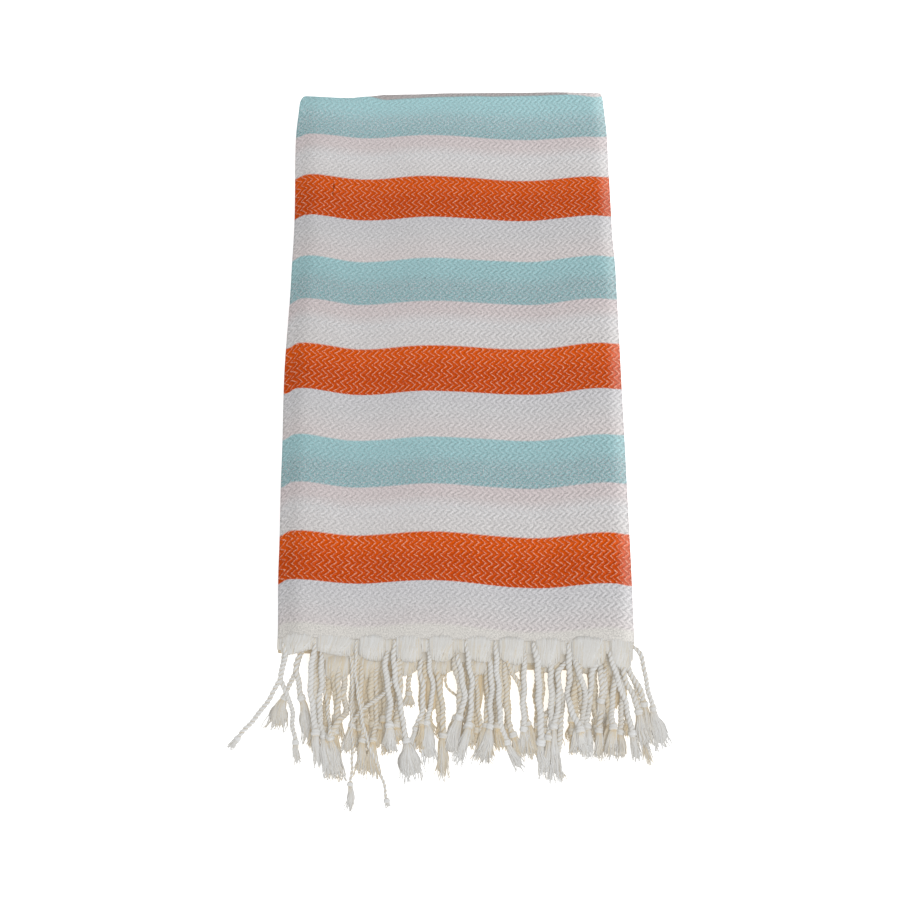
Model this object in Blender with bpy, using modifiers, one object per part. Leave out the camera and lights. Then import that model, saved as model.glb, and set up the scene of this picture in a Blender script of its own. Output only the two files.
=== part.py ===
"""Hammam towel folded in quarters both ways and laid flat, with its knotted fringe.

The towel is one flat-woven sheet. It is folded in half twice across its width and in half
twice along its length, so the bundle is sixteen layers thick. Both woven ends lie at the
front, where the warp threads are gathered into cords, knotted and left as loose brushes.

Frame: metres, +Z up. +X is the side of the free selvedges, +Y the side of the top fold and
-Y the side of the fringe. The origin is in the middle of the folded cloth's underside.
"""

import math

import bmesh
import bpy
from mathutils import Vector

# Driving dimensions of the cloth.
FOLDED_WIDTH = 0.250
FOLDED_LENGTH = 0.454
SHEET_THICKNESS = 0.0010
LAYER_PITCH = 0.0012
LEG_PITCH = 0.0050

# How far the inner layers stop short of the folded outline, or pass it (negative).
SELVEDGE_INSETS = (0.0, 0.0020, 0.0035)
HEM_INSETS = (0.0, 0.0030, -0.0100)

# Steps across the four widths and their turns, and along the four legs and their turns.
WIDTH_STEPS = (18, 6, 3, 4, 3, 4, 3)
LENGTH_STEPS = (14, 8, 3, 4, 3, 4, 3)
EVEN_SPACING_SHARE = 0.55

# Soft ridges of the top layer, between the two long valleys.
# Columns: x at the hem, x at the fold, reach to the left, reach to the right,
# height at the hem, height at the fold.
RIDGES = (
    (-0.108, -0.108, 0.0150, 0.0440, 0.0030, 0.0024),
    (-0.018, -0.022, 0.0440, 0.0740, 0.0032, 0.0024),
    (0.110, 0.110, 0.0520, 0.0150, 0.0034, 0.0026),
)
RIDGE_FADE_AT_FOLD = 0.045

# How much lower the hem ends on the right than on the left, and how far up that is felt.
HEM_SKEW = 0.0030
HEM_SKEW_REACH = 0.090

# The corners of the top fold draw in a little.
CORNER_DRAW_IN = 0.0022
CORNER_DRAW_REACH = 0.012

# The fringe: ten cords on each of the eight layers that end at the front.
CORDS_PER_ROW = 10
ROWS_PER_COURSE = 4
STRIP_GAP = 0.0003
STRIP_DEPTH = 0.0025
RIBBON_THICKNESS = 0.0008
ROOT_WIDTH = 0.0210
PUFF_WIDTH = 0.0215
GATHER_WIDTH = 0.0050
CORD_WIDTH = 0.0046
CORD_THICKNESS = 0.0030
KNOT_WIDTH = 0.0054
BRUSH_THICKNESS = 0.0024
COURSE_GAP = 0.0006

# Distances down from the hem's mean line: where every cord is gathered, where it has
# thickened, where it lies on its course, and half the length of a knot.
GATHERED_AT = 0.029
THICK_AT = 0.036
LANDED_AT = 0.057
HALF_KNOT = 0.0035

# Long strands leave the upper course at the first distance and lie on the surface at the
# second, clear of the lower course.
LONG_LEAVES_AT = 0.0950
LONG_LANDS_AT = 0.1020

# Shares: of the way to the gathering, where the ribbon bulges and where it has narrowed;
# of its narrowing done by then; of the cord's thickness at the first thickened place; of
# the way down to the next place; and of the brush's length, where it has its full width.
BULGE_SHARE = 0.40
NARROWING_SHARE = 0.75
NARROWED_SHARE = 0.65
THICKENED_SHARE = 0.8
MIDWAY_SHARE = 0.55
BRUSH_FULL_SHARE = 0.6

# Rows of the fringe, from the top layer down.
# Columns: name, course, level of its layer in the leg, lane, knot, brush end, brush width.
ROWS = (
    ("fringe_row_1", "upper", 1.5, 0, 0.0620, 0.0830, 0.0058),
    ("fringe_row_2", "upper", 0.5, 2, 0.0610, 0.0800, 0.0056),
    ("fringe_row_3", "upper", -0.5, 1, 0.0690, 0.0880, 0.0046),
    ("fringe_row_4", "upper", -1.5, 3, 0.0680, 0.0860, 0.0046),
    ("fringe_row_5", "lower", 1.5, 0, 0.0650, 0.0890, 0.0058),
    ("fringe_row_6", "lower", 0.5, 2, 0.0660, 0.0870, 0.0056),
    ("fringe_row_7", "lower", -0.5, 1, 0.0740, 0.0930, 0.0046),
    ("fringe_row_8", "lower", -1.5, 3, 0.0730, 0.0910, 0.0046),
)

# Sideways sway of each course. Columns: course, amplitude, wave length, phase.
SWAYS = (("upper", 0.0011, 0.072, 0.6), ("lower", 0.0009, 0.058, 2.4))
FAN_LEFT = 0.05
FAN_RIGHT = 0.11
LENGTH_UNEVENNESS = 0.0025

# Cords that leave the comb. Columns: course, lane, sideways shift of the tip, brush end,
# brush width, and whether it comes down to the surface beside the lower course.
STRAYS = (
    ("upper", 0, -0.0260, 0.0720, 0.0034, True),
    ("upper", 39, 0.0150, 0.0740, 0.0090, True),
    ("upper", 8, 0.0000, 0.1090, 0.0022, False),
    ("upper", 10, 0.0090, 0.1090, 0.0022, False),
)
UNEVENNESS_STEP = 2.4
UNEVENNESS_START = 1.3

CLOTH_COLOUR = (0.56, 0.45, 0.40, 1.0)
FRINGE_COLOUR = (0.80, 0.77, 0.71, 1.0)
COTTON_ROUGHNESS = 0.9
COLLECTION_NAME = "hammam_towel"

# Worked out from the sizes above.
HALF_WIDTH = FOLDED_WIDTH / 2.0
HALF_LENGTH = FOLDED_LENGTH / 2.0
HALF_SHEET = SHEET_THICKNESS / 2.0
LEG_HALF_THICKNESS = 1.5 * LAYER_PITCH + HALF_SHEET
STACK_MIDDLE = 1.5 * LEG_PITCH + LEG_HALF_THICKNESS
LANE_COUNT = CORDS_PER_ROW * ROWS_PER_COURSE
LANE_PITCH = FOLDED_WIDTH / LANE_COUNT


def remove_old_objects():
    """Empty the scene, so that the script can be run again."""
    for old_object in list(bpy.data.objects):
        bpy.data.objects.remove(old_object, do_unlink=True)


def make_collection(name):
    """A new collection under the scene's own."""
    collection = bpy.data.collections.new(name)
    bpy.context.scene.collection.children.link(collection)
    return collection


def make_material(name, colour):
    """A matt cotton with one plain colour."""
    material = bpy.data.materials.new(name)
    material.use_nodes = True
    shader = material.node_tree.nodes["Principled BSDF"]
    shader.inputs["Base Color"].default_value = colour
    shader.inputs["Roughness"].default_value = COTTON_ROUGHNESS
    shader.inputs["Metallic"].default_value = 0.0
    return material


def ease(value):
    """Smooth step: 0 below 0, 1 above 1, level at both ends."""
    clipped = min(max(value, 0.0), 1.0)
    return clipped * clipped * (3.0 - 2.0 * clipped)


def mix(start, end, share):
    """The value that lies the given share of the way from start to end."""
    return start + (end - start) * share


def eased_fractions(steps):
    """Fractions from 0 to 1 that lie closer together near both ends."""
    fractions = []
    for step in range(steps + 1):
        place = 2.0 * step / steps - 1.0
        crowded = math.sin(math.pi * place / 2.0)
        fractions.append(0.5 + 0.5 * mix(crowded, place, EVEN_SPACING_SHARE))
    return fractions


def straight_run(run, level, start, end, steps, normal):
    """Stations of one flat layer: (run, along, across, normal along, normal across)."""
    return [(run, mix(start, end, share), level, 0.0, normal) for share in eased_fractions(steps)]


def round_turn(run, centre, level, radius, start_angle, sweep, steps, outward):
    """Stations of a half-round turn, without the two that the runs beside it already have."""
    stations = []
    for step in range(1, steps):
        angle = math.radians(start_angle + sweep * step / steps)
        along = math.cos(angle)
        across = math.sin(angle)
        place = (centre + radius * along, level + radius * across)
        stations.append((run, place[0], place[1], outward * along, outward * across))
    return stations


def quartered_path(far_edge, near_edges, cover, pitch, steps):
    """A sheet folded in half twice, as stations along its length.

    It starts at the near edge on top, wraps round the far edge to the bottom, turns back at
    the near edge, turns again inside the wrap and ends at the near edge, one layer down.
    """
    wrap = 1.5 * pitch
    turn = 0.5 * pitch
    far_centre = far_edge - wrap - cover
    near_centre = near_edges[1] + turn + cover
    path = straight_run(0, wrap, near_edges[0], far_centre, steps[0], 1.0)
    path += round_turn(1, far_centre, 0.0, wrap, 90.0, -180.0, steps[1], 1.0)
    path += straight_run(2, -wrap, far_centre, near_centre, steps[2], -1.0)
    path += round_turn(3, near_centre, -pitch, turn, -90.0, -180.0, steps[3], 1.0)
    path += straight_run(4, -turn, near_centre, far_centre, steps[4], 1.0)
    path += round_turn(5, far_centre, 0.0, turn, -90.0, 180.0, steps[5], -1.0)
    path += straight_run(6, turn, far_centre, near_edges[2], steps[6], -1.0)
    return path


def width_path():
    """The folds across the width. Here along runs to the left, from the free selvedges."""
    near_edges = [-HALF_WIDTH + inset for inset in SELVEDGE_INSETS]
    return quartered_path(HALF_WIDTH, near_edges, HALF_SHEET, LAYER_PITCH, WIDTH_STEPS)


def length_path():
    """The folds along the length. Here along runs from the fringe to the top fold."""
    near_edges = [-HALF_LENGTH + inset for inset in HEM_INSETS]
    return quartered_path(HALF_LENGTH, near_edges, LEG_HALF_THICKNESS, LEG_PITCH, LENGTH_STEPS)


def ridge_height(x, y):
    """How far the top layer stands off the layer below it, at a place on the towel."""
    towards_fold = (y + HALF_LENGTH) / FOLDED_LENGTH
    height = 0.0
    for at_hem, at_fold, reach_left, reach_right, hem_height, fold_height in RIDGES:
        offset = x - mix(at_hem, at_fold, towards_fold)
        reach = reach_right if offset > 0.0 else reach_left
        if abs(offset) < reach:
            crest = mix(hem_height, fold_height, towards_fold)
            height += crest * (0.5 + 0.5 * math.cos(math.pi * offset / reach))
    fold_fade = ease((HALF_LENGTH - LEG_HALF_THICKNESS - 1.5 * LEG_PITCH - y) / RIDGE_FADE_AT_FOLD)
    return height * fold_fade


def hem_dip(x):
    """How far the hem lies below its mean line at x."""
    return HEM_SKEW * x / FOLDED_WIDTH


def cloth_point(width_station, length_station):
    """A point of the sheet's middle surface, folded both ways."""
    layer, along_width, level, _, _ = width_station
    leg, along_length, height, normal_y, normal_z = length_station
    x = -along_width
    y = along_length + level * normal_y
    z = STACK_MIDDLE + height + level * normal_z
    if leg in (0, 6):
        y -= hem_dip(x) * (1.0 - ease((along_length + HALF_LENGTH) / HEM_SKEW_REACH))
    if leg == 0 and layer == 0:
        z += ridge_height(x, y)
    draw_in = CORNER_DRAW_IN * ease((y - HALF_LENGTH + CORNER_DRAW_REACH) / CORNER_DRAW_REACH)
    x *= 1.0 - draw_in / HALF_WIDTH
    return Vector((x, y, z))


def finish_object(name, mesh, material, collection):
    """Name the object, give it its material and put it in the collection."""
    mesh.materials.append(material)
    thing = bpy.data.objects.new(name, mesh)
    collection.objects.link(thing)
    return thing


def build_cloth(material, collection):
    """Bend a flat grid into the folds and give it the cloth's thickness."""
    across = width_path()
    down = length_path()
    grid = bmesh.new()
    bmesh.ops.create_grid(grid, x_segments=len(across) - 1, y_segments=len(down) - 1, size=1.0)
    for vertex in grid.verts:
        column = round((vertex.co.x + 1.0) / 2.0 * (len(across) - 1))
        row = round((vertex.co.y + 1.0) / 2.0 * (len(down) - 1))
        vertex.co = cloth_point(across[column], down[row])
    mesh = bpy.data.meshes.new("cloth")
    grid.to_mesh(mesh)
    grid.free()
    cloth = finish_object("cloth", mesh, material, collection)
    thickness = cloth.modifiers.new("Cloth thickness", "SOLIDIFY")
    thickness.thickness = SHEET_THICKNESS
    thickness.offset = 0.0
    return cloth


def layer_height(course, level, x, down):
    """Middle height of a layer at the front, which its ribbons keep until they are gathered."""
    if course == "upper":
        height = STACK_MIDDLE + 1.5 * LEG_PITCH + level * LAYER_PITCH
    else:
        height = STACK_MIDDLE + 0.5 * LEG_PITCH + level * LAYER_PITCH
    if course == "upper" and level == 1.5:
        height += ridge_height(x, -HALF_LENGTH) * (1.0 - ease(down / GATHERED_AT))
    return height


def hem_start(course):
    """Distance from the hem's mean line to the front edge of a course's backing strips."""
    inset = HEM_INSETS[0] if course == "upper" else HEM_INSETS[2]
    return STRIP_GAP + STRIP_DEPTH - inset


def sway(course, x, down):
    """Sideways drift of a cord on its way to the tip."""
    amplitude, length, phase = next(row[1:] for row in SWAYS if row[0] == course)
    share = ease((down - LANDED_AT) / LANDED_AT)
    fan = FAN_RIGHT if x > 0.0 else FAN_LEFT
    drift = amplitude * math.sin(2.0 * math.pi * x / length + phase)
    return share * (drift + fan * x * abs(x) / HALF_WIDTH)


def cord_end(row, lane):
    """Knot, brush end and brush width of one cord, with the strays' own values."""
    _, course, _, _, knot, brush_end, brush_width = row
    brush_end += LENGTH_UNEVENNESS * math.sin(UNEVENNESS_STEP * lane + UNEVENNESS_START)
    for stray_course, stray_lane, shift, stray_end, stray_width, comes_down in STRAYS:
        if stray_course == course and stray_lane == lane:
            return knot, stray_end, stray_width, shift, comes_down
    return knot, brush_end, brush_width, 0.0, False


def strand_shape(row, lane):
    """Sizes of one cord from the backing strip on, as (down, width, thickness) rows."""
    start = hem_start(row[1])
    knot, brush_end, brush_width, _, _ = cord_end(row, lane)
    knot_end = knot + HALF_KNOT
    is_long = brush_end > LONG_LANDS_AT
    full_at = mix(knot_end, LONG_LEAVES_AT if is_long else brush_end, BRUSH_FULL_SHARE)
    narrowing_width = mix(PUFF_WIDTH, GATHER_WIDTH, NARROWED_SHARE)
    early_thickness = mix(RIBBON_THICKNESS, CORD_THICKNESS, THICKENED_SHARE)
    shape = [
        (mix(start, GATHERED_AT, BULGE_SHARE), PUFF_WIDTH, RIBBON_THICKNESS),
        (mix(start, GATHERED_AT, NARROWING_SHARE), narrowing_width, RIBBON_THICKNESS),
        (GATHERED_AT, GATHER_WIDTH, RIBBON_THICKNESS),
        (THICK_AT, CORD_WIDTH, early_thickness),
        (mix(THICK_AT, LANDED_AT, MIDWAY_SHARE), CORD_WIDTH, CORD_THICKNESS),
        (LANDED_AT, CORD_WIDTH, CORD_THICKNESS),
        (knot - HALF_KNOT, CORD_WIDTH, CORD_THICKNESS),
        (knot, KNOT_WIDTH, CORD_THICKNESS),
        (knot_end, min(CORD_WIDTH, brush_width), BRUSH_THICKNESS),
        (full_at, brush_width, BRUSH_THICKNESS),
    ]
    if is_long:
        shape.append((LONG_LEAVES_AT, brush_width, BRUSH_THICKNESS))
        shape.append((LONG_LANDS_AT, brush_width, BRUSH_THICKNESS))
    shape.append((brush_end, brush_width, BRUSH_THICKNESS))
    return shape


def strand_stations(row, index):
    """Places along one cord, as (down, x, underside, share landed, width, thickness) rows."""
    course = row[1]
    lane = ROWS_PER_COURSE * index + row[3]
    lane_x = -HALF_WIDTH + (lane + 0.5) * LANE_PITCH
    root_x = -HALF_WIDTH + (index + 0.5) * FOLDED_WIDTH / CORDS_PER_ROW
    _, brush_end, _, shift, comes_down = cord_end(row, lane)
    start = hem_start(course)
    turns_at = LONG_LEAVES_AT if brush_end > LONG_LANDS_AT else GATHERED_AT
    stations = []
    for down, width, thickness in strand_shape(row, lane):
        gathered = ease((down - start) / (GATHERED_AT - start))
        landed = ease((down - GATHERED_AT) / (LANDED_AT - GATHERED_AT))
        x = mix(root_x, lane_x, gathered) + sway(course, lane_x, down)
        x += shift * ease((down - turns_at) / (brush_end - turns_at))
        floor = CORD_THICKNESS + COURSE_GAP if course == "upper" else 0.0
        if comes_down:
            floor *= 1.0 - ease((down - LANDED_AT) / HALF_KNOT)
        if down >= LONG_LANDS_AT:
            floor = 0.0
        stations.append((down, x, floor, landed, width, thickness))
    return stations


def station_height(row, x, station):
    """Middle height of a cord at a station: its layer's at first, its course's once landed."""
    down, _, floor, landed, _, thickness = station
    return mix(layer_height(row[1], row[2], x, down), floor + thickness / 2.0, landed)


def build_fringe_row(row, material, collection):
    """A narrow strip along one hem with its ten cords, as one surface given thickness."""
    name, course, level = row[0], row[1], row[2]
    front = hem_start(course)
    points = []
    faces = []
    thicknesses = []

    def add_point(x, y, z, thickness):
        """Add a point and return its number."""
        points.append((x, y, z))
        thicknesses.append(thickness)
        return len(points) - 1

    back_edge = []
    front_edge = []
    for index in range(CORDS_PER_ROW):
        root_x = -HALF_WIDTH + (index + 0.5) * FOLDED_WIDTH / CORDS_PER_ROW
        for x in (root_x - ROOT_WIDTH / 2.0, root_x + ROOT_WIDTH / 2.0):
            z = layer_height(course, level, x, 0.0)
            back_y = -HALF_LENGTH - front + STRIP_DEPTH - hem_dip(x)
            front_z = layer_height(course, level, x, front)
            back_edge.append(add_point(x, back_y, z, RIBBON_THICKNESS))
            front_edge.append(add_point(x, back_y - STRIP_DEPTH, front_z, RIBBON_THICKNESS))
    for place in range(len(back_edge) - 1):
        faces.append((front_edge[place], front_edge[place + 1], back_edge[place + 1], back_edge[place]))
    for index in range(CORDS_PER_ROW):
        left = front_edge[2 * index]
        right = front_edge[2 * index + 1]
        for station in strand_stations(row, index):
            down, x, _, _, width, thickness = station
            y = -HALF_LENGTH - down - hem_dip(x)
            sides = []
            for side_x in (x - width / 2.0, x + width / 2.0):
                z = station_height(row, side_x, station)
                sides.append(add_point(side_x, y, z, thickness))
            faces.append((sides[0], sides[1], right, left))
            left, right = sides
    mesh = bpy.data.meshes.new(name)
    mesh.from_pydata(points, [], faces)
    fringe = finish_object(name, mesh, material, collection)
    group = fringe.vertex_groups.new(name="thickness")
    for number, thickness in enumerate(thicknesses):
        group.add([number], thickness / CORD_THICKNESS, "REPLACE")
    solid = fringe.modifiers.new("Cord thickness", "SOLIDIFY")
    solid.thickness = CORD_THICKNESS
    solid.offset = 0.0
    solid.vertex_group = group.name
    return fringe


def main():
    """Build the towel."""
    remove_old_objects()
    collection = make_collection(COLLECTION_NAME)
    cloth_material = make_material("striped_cotton", CLOTH_COLOUR)
    fringe_material = make_material("fringe_cotton", FRINGE_COLOUR)
    build_cloth(cloth_material, collection)
    for row in ROWS:
        build_fringe_row(row, fringe_material, collection)


main()
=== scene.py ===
# %% [markdown]
# # A folded hammam towel and its knotted fringe
# The towel is one flat-woven cotton sheet, folded in quarters both ways and laid down with
# its two fringed ends at the front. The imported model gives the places; this script gives
# the cloth, the yarns, the light and the camera.

import bpy
import numpy as np
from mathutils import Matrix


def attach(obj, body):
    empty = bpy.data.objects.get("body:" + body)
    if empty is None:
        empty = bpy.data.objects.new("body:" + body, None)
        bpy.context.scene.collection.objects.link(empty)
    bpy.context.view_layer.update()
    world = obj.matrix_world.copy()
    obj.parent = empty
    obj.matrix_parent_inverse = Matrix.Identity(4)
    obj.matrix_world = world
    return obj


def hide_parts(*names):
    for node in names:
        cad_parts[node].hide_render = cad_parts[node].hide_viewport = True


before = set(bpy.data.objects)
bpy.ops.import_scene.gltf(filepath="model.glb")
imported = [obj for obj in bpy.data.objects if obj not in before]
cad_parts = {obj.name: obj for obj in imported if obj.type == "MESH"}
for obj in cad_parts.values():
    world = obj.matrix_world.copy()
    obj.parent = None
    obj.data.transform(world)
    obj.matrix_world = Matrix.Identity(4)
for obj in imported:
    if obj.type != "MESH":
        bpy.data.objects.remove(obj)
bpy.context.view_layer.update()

SCENE = bpy.context.scene
UNEVEN = np.random.default_rng(28)
print("nodes:", sorted(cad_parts))

# %% [markdown]
# ## Sizes
# The sizes are those of the solids, in metres, with the origin in the middle of the
# underside and +Y up to the top fold. A leg is one of the four lengths that lie on each
# other, and each leg is four layers of the sheet.

# %% Sizes
MILLIMETRES = 1000
HALF_WIDTH = 0.125
HALF_LENGTH = 0.227
SHEET_THICKNESS = 0.001
LAYER_PITCH = 0.0012
LEG_PITCH = 0.005
LEG_HALF_THICKNESS = 1.5 * LAYER_PITCH + SHEET_THICKNESS / 2
STACK_MIDDLE = 1.5 * LEG_PITCH + LEG_HALF_THICKNESS
# Insets from the near edge: of the top run, of the turn and of the last run.
SELVEDGE_INSETS = (0, 0.002, 0.0035)
HEM_INSETS = (0, 0.003, -0.0035)
# How far the top fold reaches beyond the half length.
FOLD_REACH = 0.0052
print("folded stack:", round(2000 * STACK_MIDDLE, 1), "mm high")


# %% [markdown]
# ## Small helpers
# Soft steps join one value to the next without a kink, as cloth and yarn bend. All chance
# comes from one seeded generator, so the towel is the same each time.

# %% Helpers for soft curves
def ease(value):
    """Smooth step: three times the square less twice the cube of the value, kept in 0 to 1."""
    clipped = np.clip(value, 0, 1)
    return clipped * clipped * (3 - 2 * clipped)


def mix(start, end, share):
    """The value that lies the given share of the way from start to end."""
    return start + (end - start) * share


def dome(place, power):
    """Root of one less the place's size to the power: level in the middle, steep at 1."""
    return np.sqrt(np.clip(1 - np.abs(place) ** power, 0, 1))


def read_table(table, at):
    """Each column's value between the rows, joined by smooth steps. The table is in millimetres."""
    places, *columns = np.transpose(table) / MILLIMETRES
    at = np.clip(at, places[0], places[-1])
    row = np.clip(np.searchsorted(places, at, side="right") - 1, 0, len(places) - 2)
    share = ease((at - places[row]) / (places[row + 1] - places[row]))
    return [mix(values[row], values[row + 1], share) for values in columns]


def unit(vectors):
    """The vectors at length one."""
    return vectors / np.maximum(np.linalg.norm(vectors, axis=-1, keepdims=True), 1e-9)


def gone_after(lengths):
    """The distance gone at each station, summed from the lengths between stations."""
    return np.concatenate([[0], np.cumsum(lengths)])


def vary(low, high, shape=None):
    """Even random numbers from low to high."""
    return UNEVEN.uniform(low, high, shape)


print("a soft step at a quarter:", ease(0.25))

# %% [markdown]
# ## The sheet's fold
# Folding a towel in half twice gives one path, seen from the edge: out along the top,
# round the wrap, back underneath, a turn, in again, a tight turn and out. The same path
# serves for the width and for the length, so the sheet is one grid of two parameters. A
# cloth simulation could fold it too, but the folds would drift from the photograph's.

# %% The folding path
def folded_path(far_edge, near_edges, cover, pitch, steps):
    """Stations of a sheet folded in half twice: straight runs joined by half circles.

    The rows are, for every station, its run, its place along and across the bundle, the
    outward normal along and across, and the distance gone along the sheet.
    """
    wrap, turn = 1.5 * pitch, 0.5 * pitch
    far_centre = far_edge - wrap - cover
    near_centre = near_edges[1] + turn + cover
    runs = []

    def add_run(number, level, start, end, count, normal):
        """A straight run at one level."""
        same = np.ones(count + 1)
        place = mix(start, end, np.linspace(0, 1, count + 1))
        runs.append(np.stack([number * same, place, level * same, 0 * same, normal * same]))

    def add_turn(number, centre, level, radius, start_angle, sweep, count, outward):
        """Half a circle round the centre, without its two end stations."""
        angle = np.radians(start_angle + sweep * np.arange(1, count) / count)
        along, across = np.cos(angle), np.sin(angle)
        rows = [np.full(count - 1, number), centre + radius * along, level + radius * across]
        runs.append(np.stack(rows + [outward * along, outward * across]))

    add_run(0, wrap, near_edges[0], far_centre, steps[0], 1)
    add_turn(1, far_centre, 0, wrap, 90, -180, steps[1], 1)
    add_run(2, -wrap, far_centre, near_centre, steps[2], -1)
    add_turn(3, near_centre, -pitch, turn, -90, -180, steps[3], 1)
    add_run(4, -turn, near_centre, far_centre, steps[4], 1)
    add_turn(5, far_centre, 0, turn, -90, 180, steps[5], -1)
    add_run(6, turn, far_centre, near_edges[2], steps[6], -1)
    stations = np.concatenate(runs, axis=1)
    return np.vstack([stations, gone_after(np.hypot(*np.diff(stations[1:3])))])


ACROSS = folded_path(
    HALF_WIDTH,
    [-HALF_WIDTH + inset for inset in SELVEDGE_INSETS],
    SHEET_THICKNESS / 2,
    LAYER_PITCH,
    (112, 9, 10, 6, 10, 6, 10),
)
DOWN = folded_path(
    HALF_LENGTH + FOLD_REACH,
    [-HALF_LENGTH + inset for inset in HEM_INSETS],
    LEG_HALF_THICKNESS,
    LEG_PITCH,
    (190, 14, 14, 8, 10, 8, 14),
)
print("stations:", len(ACROSS[0]), "across and", len(DOWN[0]), "down")

# %% [markdown]
# ## The top layer's relief
# Old fold lines leave two long valleys in the top layer between three soft ridges. Finer
# waves, under half a millimetre, keep the cloth from looking pressed.

# %% Ridges, waves and wandering edges
# Columns: x at the hem, x at the fold, reach left, reach right, height at the hem, at the fold.
RIDGES = (
    (-0.108, -0.108, 0.015, 0.044, 0.003, 0.0024),
    (-0.018, -0.022, 0.044, 0.074, 0.0032, 0.0024),
    (0.11, 0.11, 0.052, 0.015, 0.0034, 0.0026),
)
RIDGE_FADE_AT_FOLD = 0.045

# Fine waves. Columns: height, x and y to the next radian, start.
WAVES = (
    (0.00016, 0.0074, 0.031, 0.7),
    (0.00014, 0.0115, -0.017, 2.1),
    (0.00012, 0.042, 0.0088, 4),
)

# In millimetres. Columns: y, how far the left edge stands out, and the right one.
EDGES_OUT = (
    (-227, -0.9, 1.9),
    (-171, 0.7, 2.1),
    (-97, 1.8, 1.8),
    (-20, 2.9, 1.4),
    (62, 1, 1),
    (105, 0.4, -0.4),
    (190, 2.3, -0.9),
    (227, 0.4, -3),
)

# In millimetres. Columns: x, how far the top fold stands out beyond its straight line.
FOLD_SWELL = (
    (-125, 1.8), (-85, 0), (-70, 1.4), (-55, 3), (-35, 3.4),
    (0, 4.6), (50, 5), (85, 5.5), (125, 4.8),
)

# How much lower the hem ends on the right, and how far up the cloth follows it.
HEM_SKEW = 0.003
HEM_SKEW_REACH = 0.09
# How far the fold's corners are drawn in, and over which length.
CORNER_DRAW_IN = 0.0022
CORNER_DRAW_REACH = 0.012


def ridge_height(x, y):
    """Each ridge is its height times half of one plus a cosine, as far as its reach."""
    towards_fold = (y + HALF_LENGTH) / (2 * HALF_LENGTH)
    height = np.zeros_like(x)
    for at_hem, at_fold, reach_left, reach_right, hem_height, fold_height in RIDGES:
        offset = x - mix(at_hem, at_fold, towards_fold)
        share = np.clip(offset / np.where(offset > 0, reach_right, reach_left), -1, 1)
        height += mix(hem_height, fold_height, towards_fold) * (0.5 + 0.5 * np.cos(np.pi * share))
    fold_start = HALF_LENGTH - LEG_HALF_THICKNESS - 1.5 * LEG_PITCH
    return height * ease((fold_start - y) / RIDGE_FADE_AT_FOLD)


def fine_waves(x, y):
    """The table's sine waves summed, eased out before the edges and the fold."""
    waves = sum(
        height * np.sin(x / x_step + y / y_step + start) for height, x_step, y_step, start in WAVES
    )
    inside = ease((HALF_WIDTH - 0.004 - np.abs(x)) / 0.014)
    return waves * inside * ease((0.205 - y) / 0.03)


def cloth_surface():
    """The sheet's middle: the length's path, with the width's path set off its normal."""
    layer, along_width, level, _, _, _ = (row[None, :] for row in ACROSS)
    leg, along_length, height, normal_y, normal_z, _ = (row[:, None] for row in DOWN)
    x = -along_width + 0 * along_length
    y = along_length + level * normal_y
    z = STACK_MIDDLE + height + level * normal_z
    skew = HEM_SKEW * x / (2 * HALF_WIDTH)
    near_hem = 1 - ease((along_length + HALF_LENGTH) / HEM_SKEW_REACH)
    y = y - np.isin(leg, (0, 6)) * skew * near_hem
    on_top = (leg == 0) & (layer == 0)
    z = z + on_top * (ridge_height(x, y) + fine_waves(x, y))
    past_corner = y - HALF_LENGTH - FOLD_REACH + CORNER_DRAW_REACH
    draw_in = CORNER_DRAW_IN * ease(past_corner / CORNER_DRAW_REACH)
    x = x * (1 - draw_in / HALF_WIDTH)
    # The long edges wander by the table, and the swell is eased in over the last 3 cm.
    left, right = read_table(EDGES_OUT, y)
    x = x + np.where(x > 0, right, -left) * np.abs(x) / HALF_WIDTH
    y = y + read_table(FOLD_SWELL, x)[0] * ease((y - 0.195) / 0.03)
    return np.stack([x, y, z], axis=-1)


SURFACE = cloth_surface()
print("surface grid:", SURFACE.shape, "top at", SURFACE[..., 2].max().round(4), "m")

# %% [markdown]
# ## Where the stripes lie
# Stripes are woven in, so they follow the flat cloth and not the room. The UV map is the
# flat cloth in metres. On the loom and in washing the weft has drawn into a slow wave, so
# the map adds that bow. At the fold the next band peeks over, but not on the left.

# %% The weft's bow
# In millimetres. Columns: x, how far the stripes sag at the hem, half-way up, at the fold.
BOW = (
    (-126, 1, -0.8, -0.7),
    (-118, -2.7, -4.7, -3.4),
    (-72, 0, 0.2, 0.2),
    (-18, -2.2, -2.1, -1.7),
    (58, 2.6, 0.1, 2),
    (112, -0.6, -4.1, 0),
    (126, 0.4, -4.6, -1.4),
)

# In millimetres. Columns: distance from the hem, how much wider than even the bands came out.
BAND_DRIFT = (
    (0, 0), (42, 0.8), (80, 1.8), (155, 2.6), (230, 2.3),
    (270, 1.6), (380, 1.7), (417, 0), (500, 0),
)

# In millimetres. Columns: x, how far the stripes shift towards the hem right at the fold.
FOLD_PEEK = (
    (-126, -4), (-76, -4), (-54, 4), (-8, 4), (24, 1.8), (57, 0.2), (90, 0.6), (123, 3.6),
)


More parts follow.
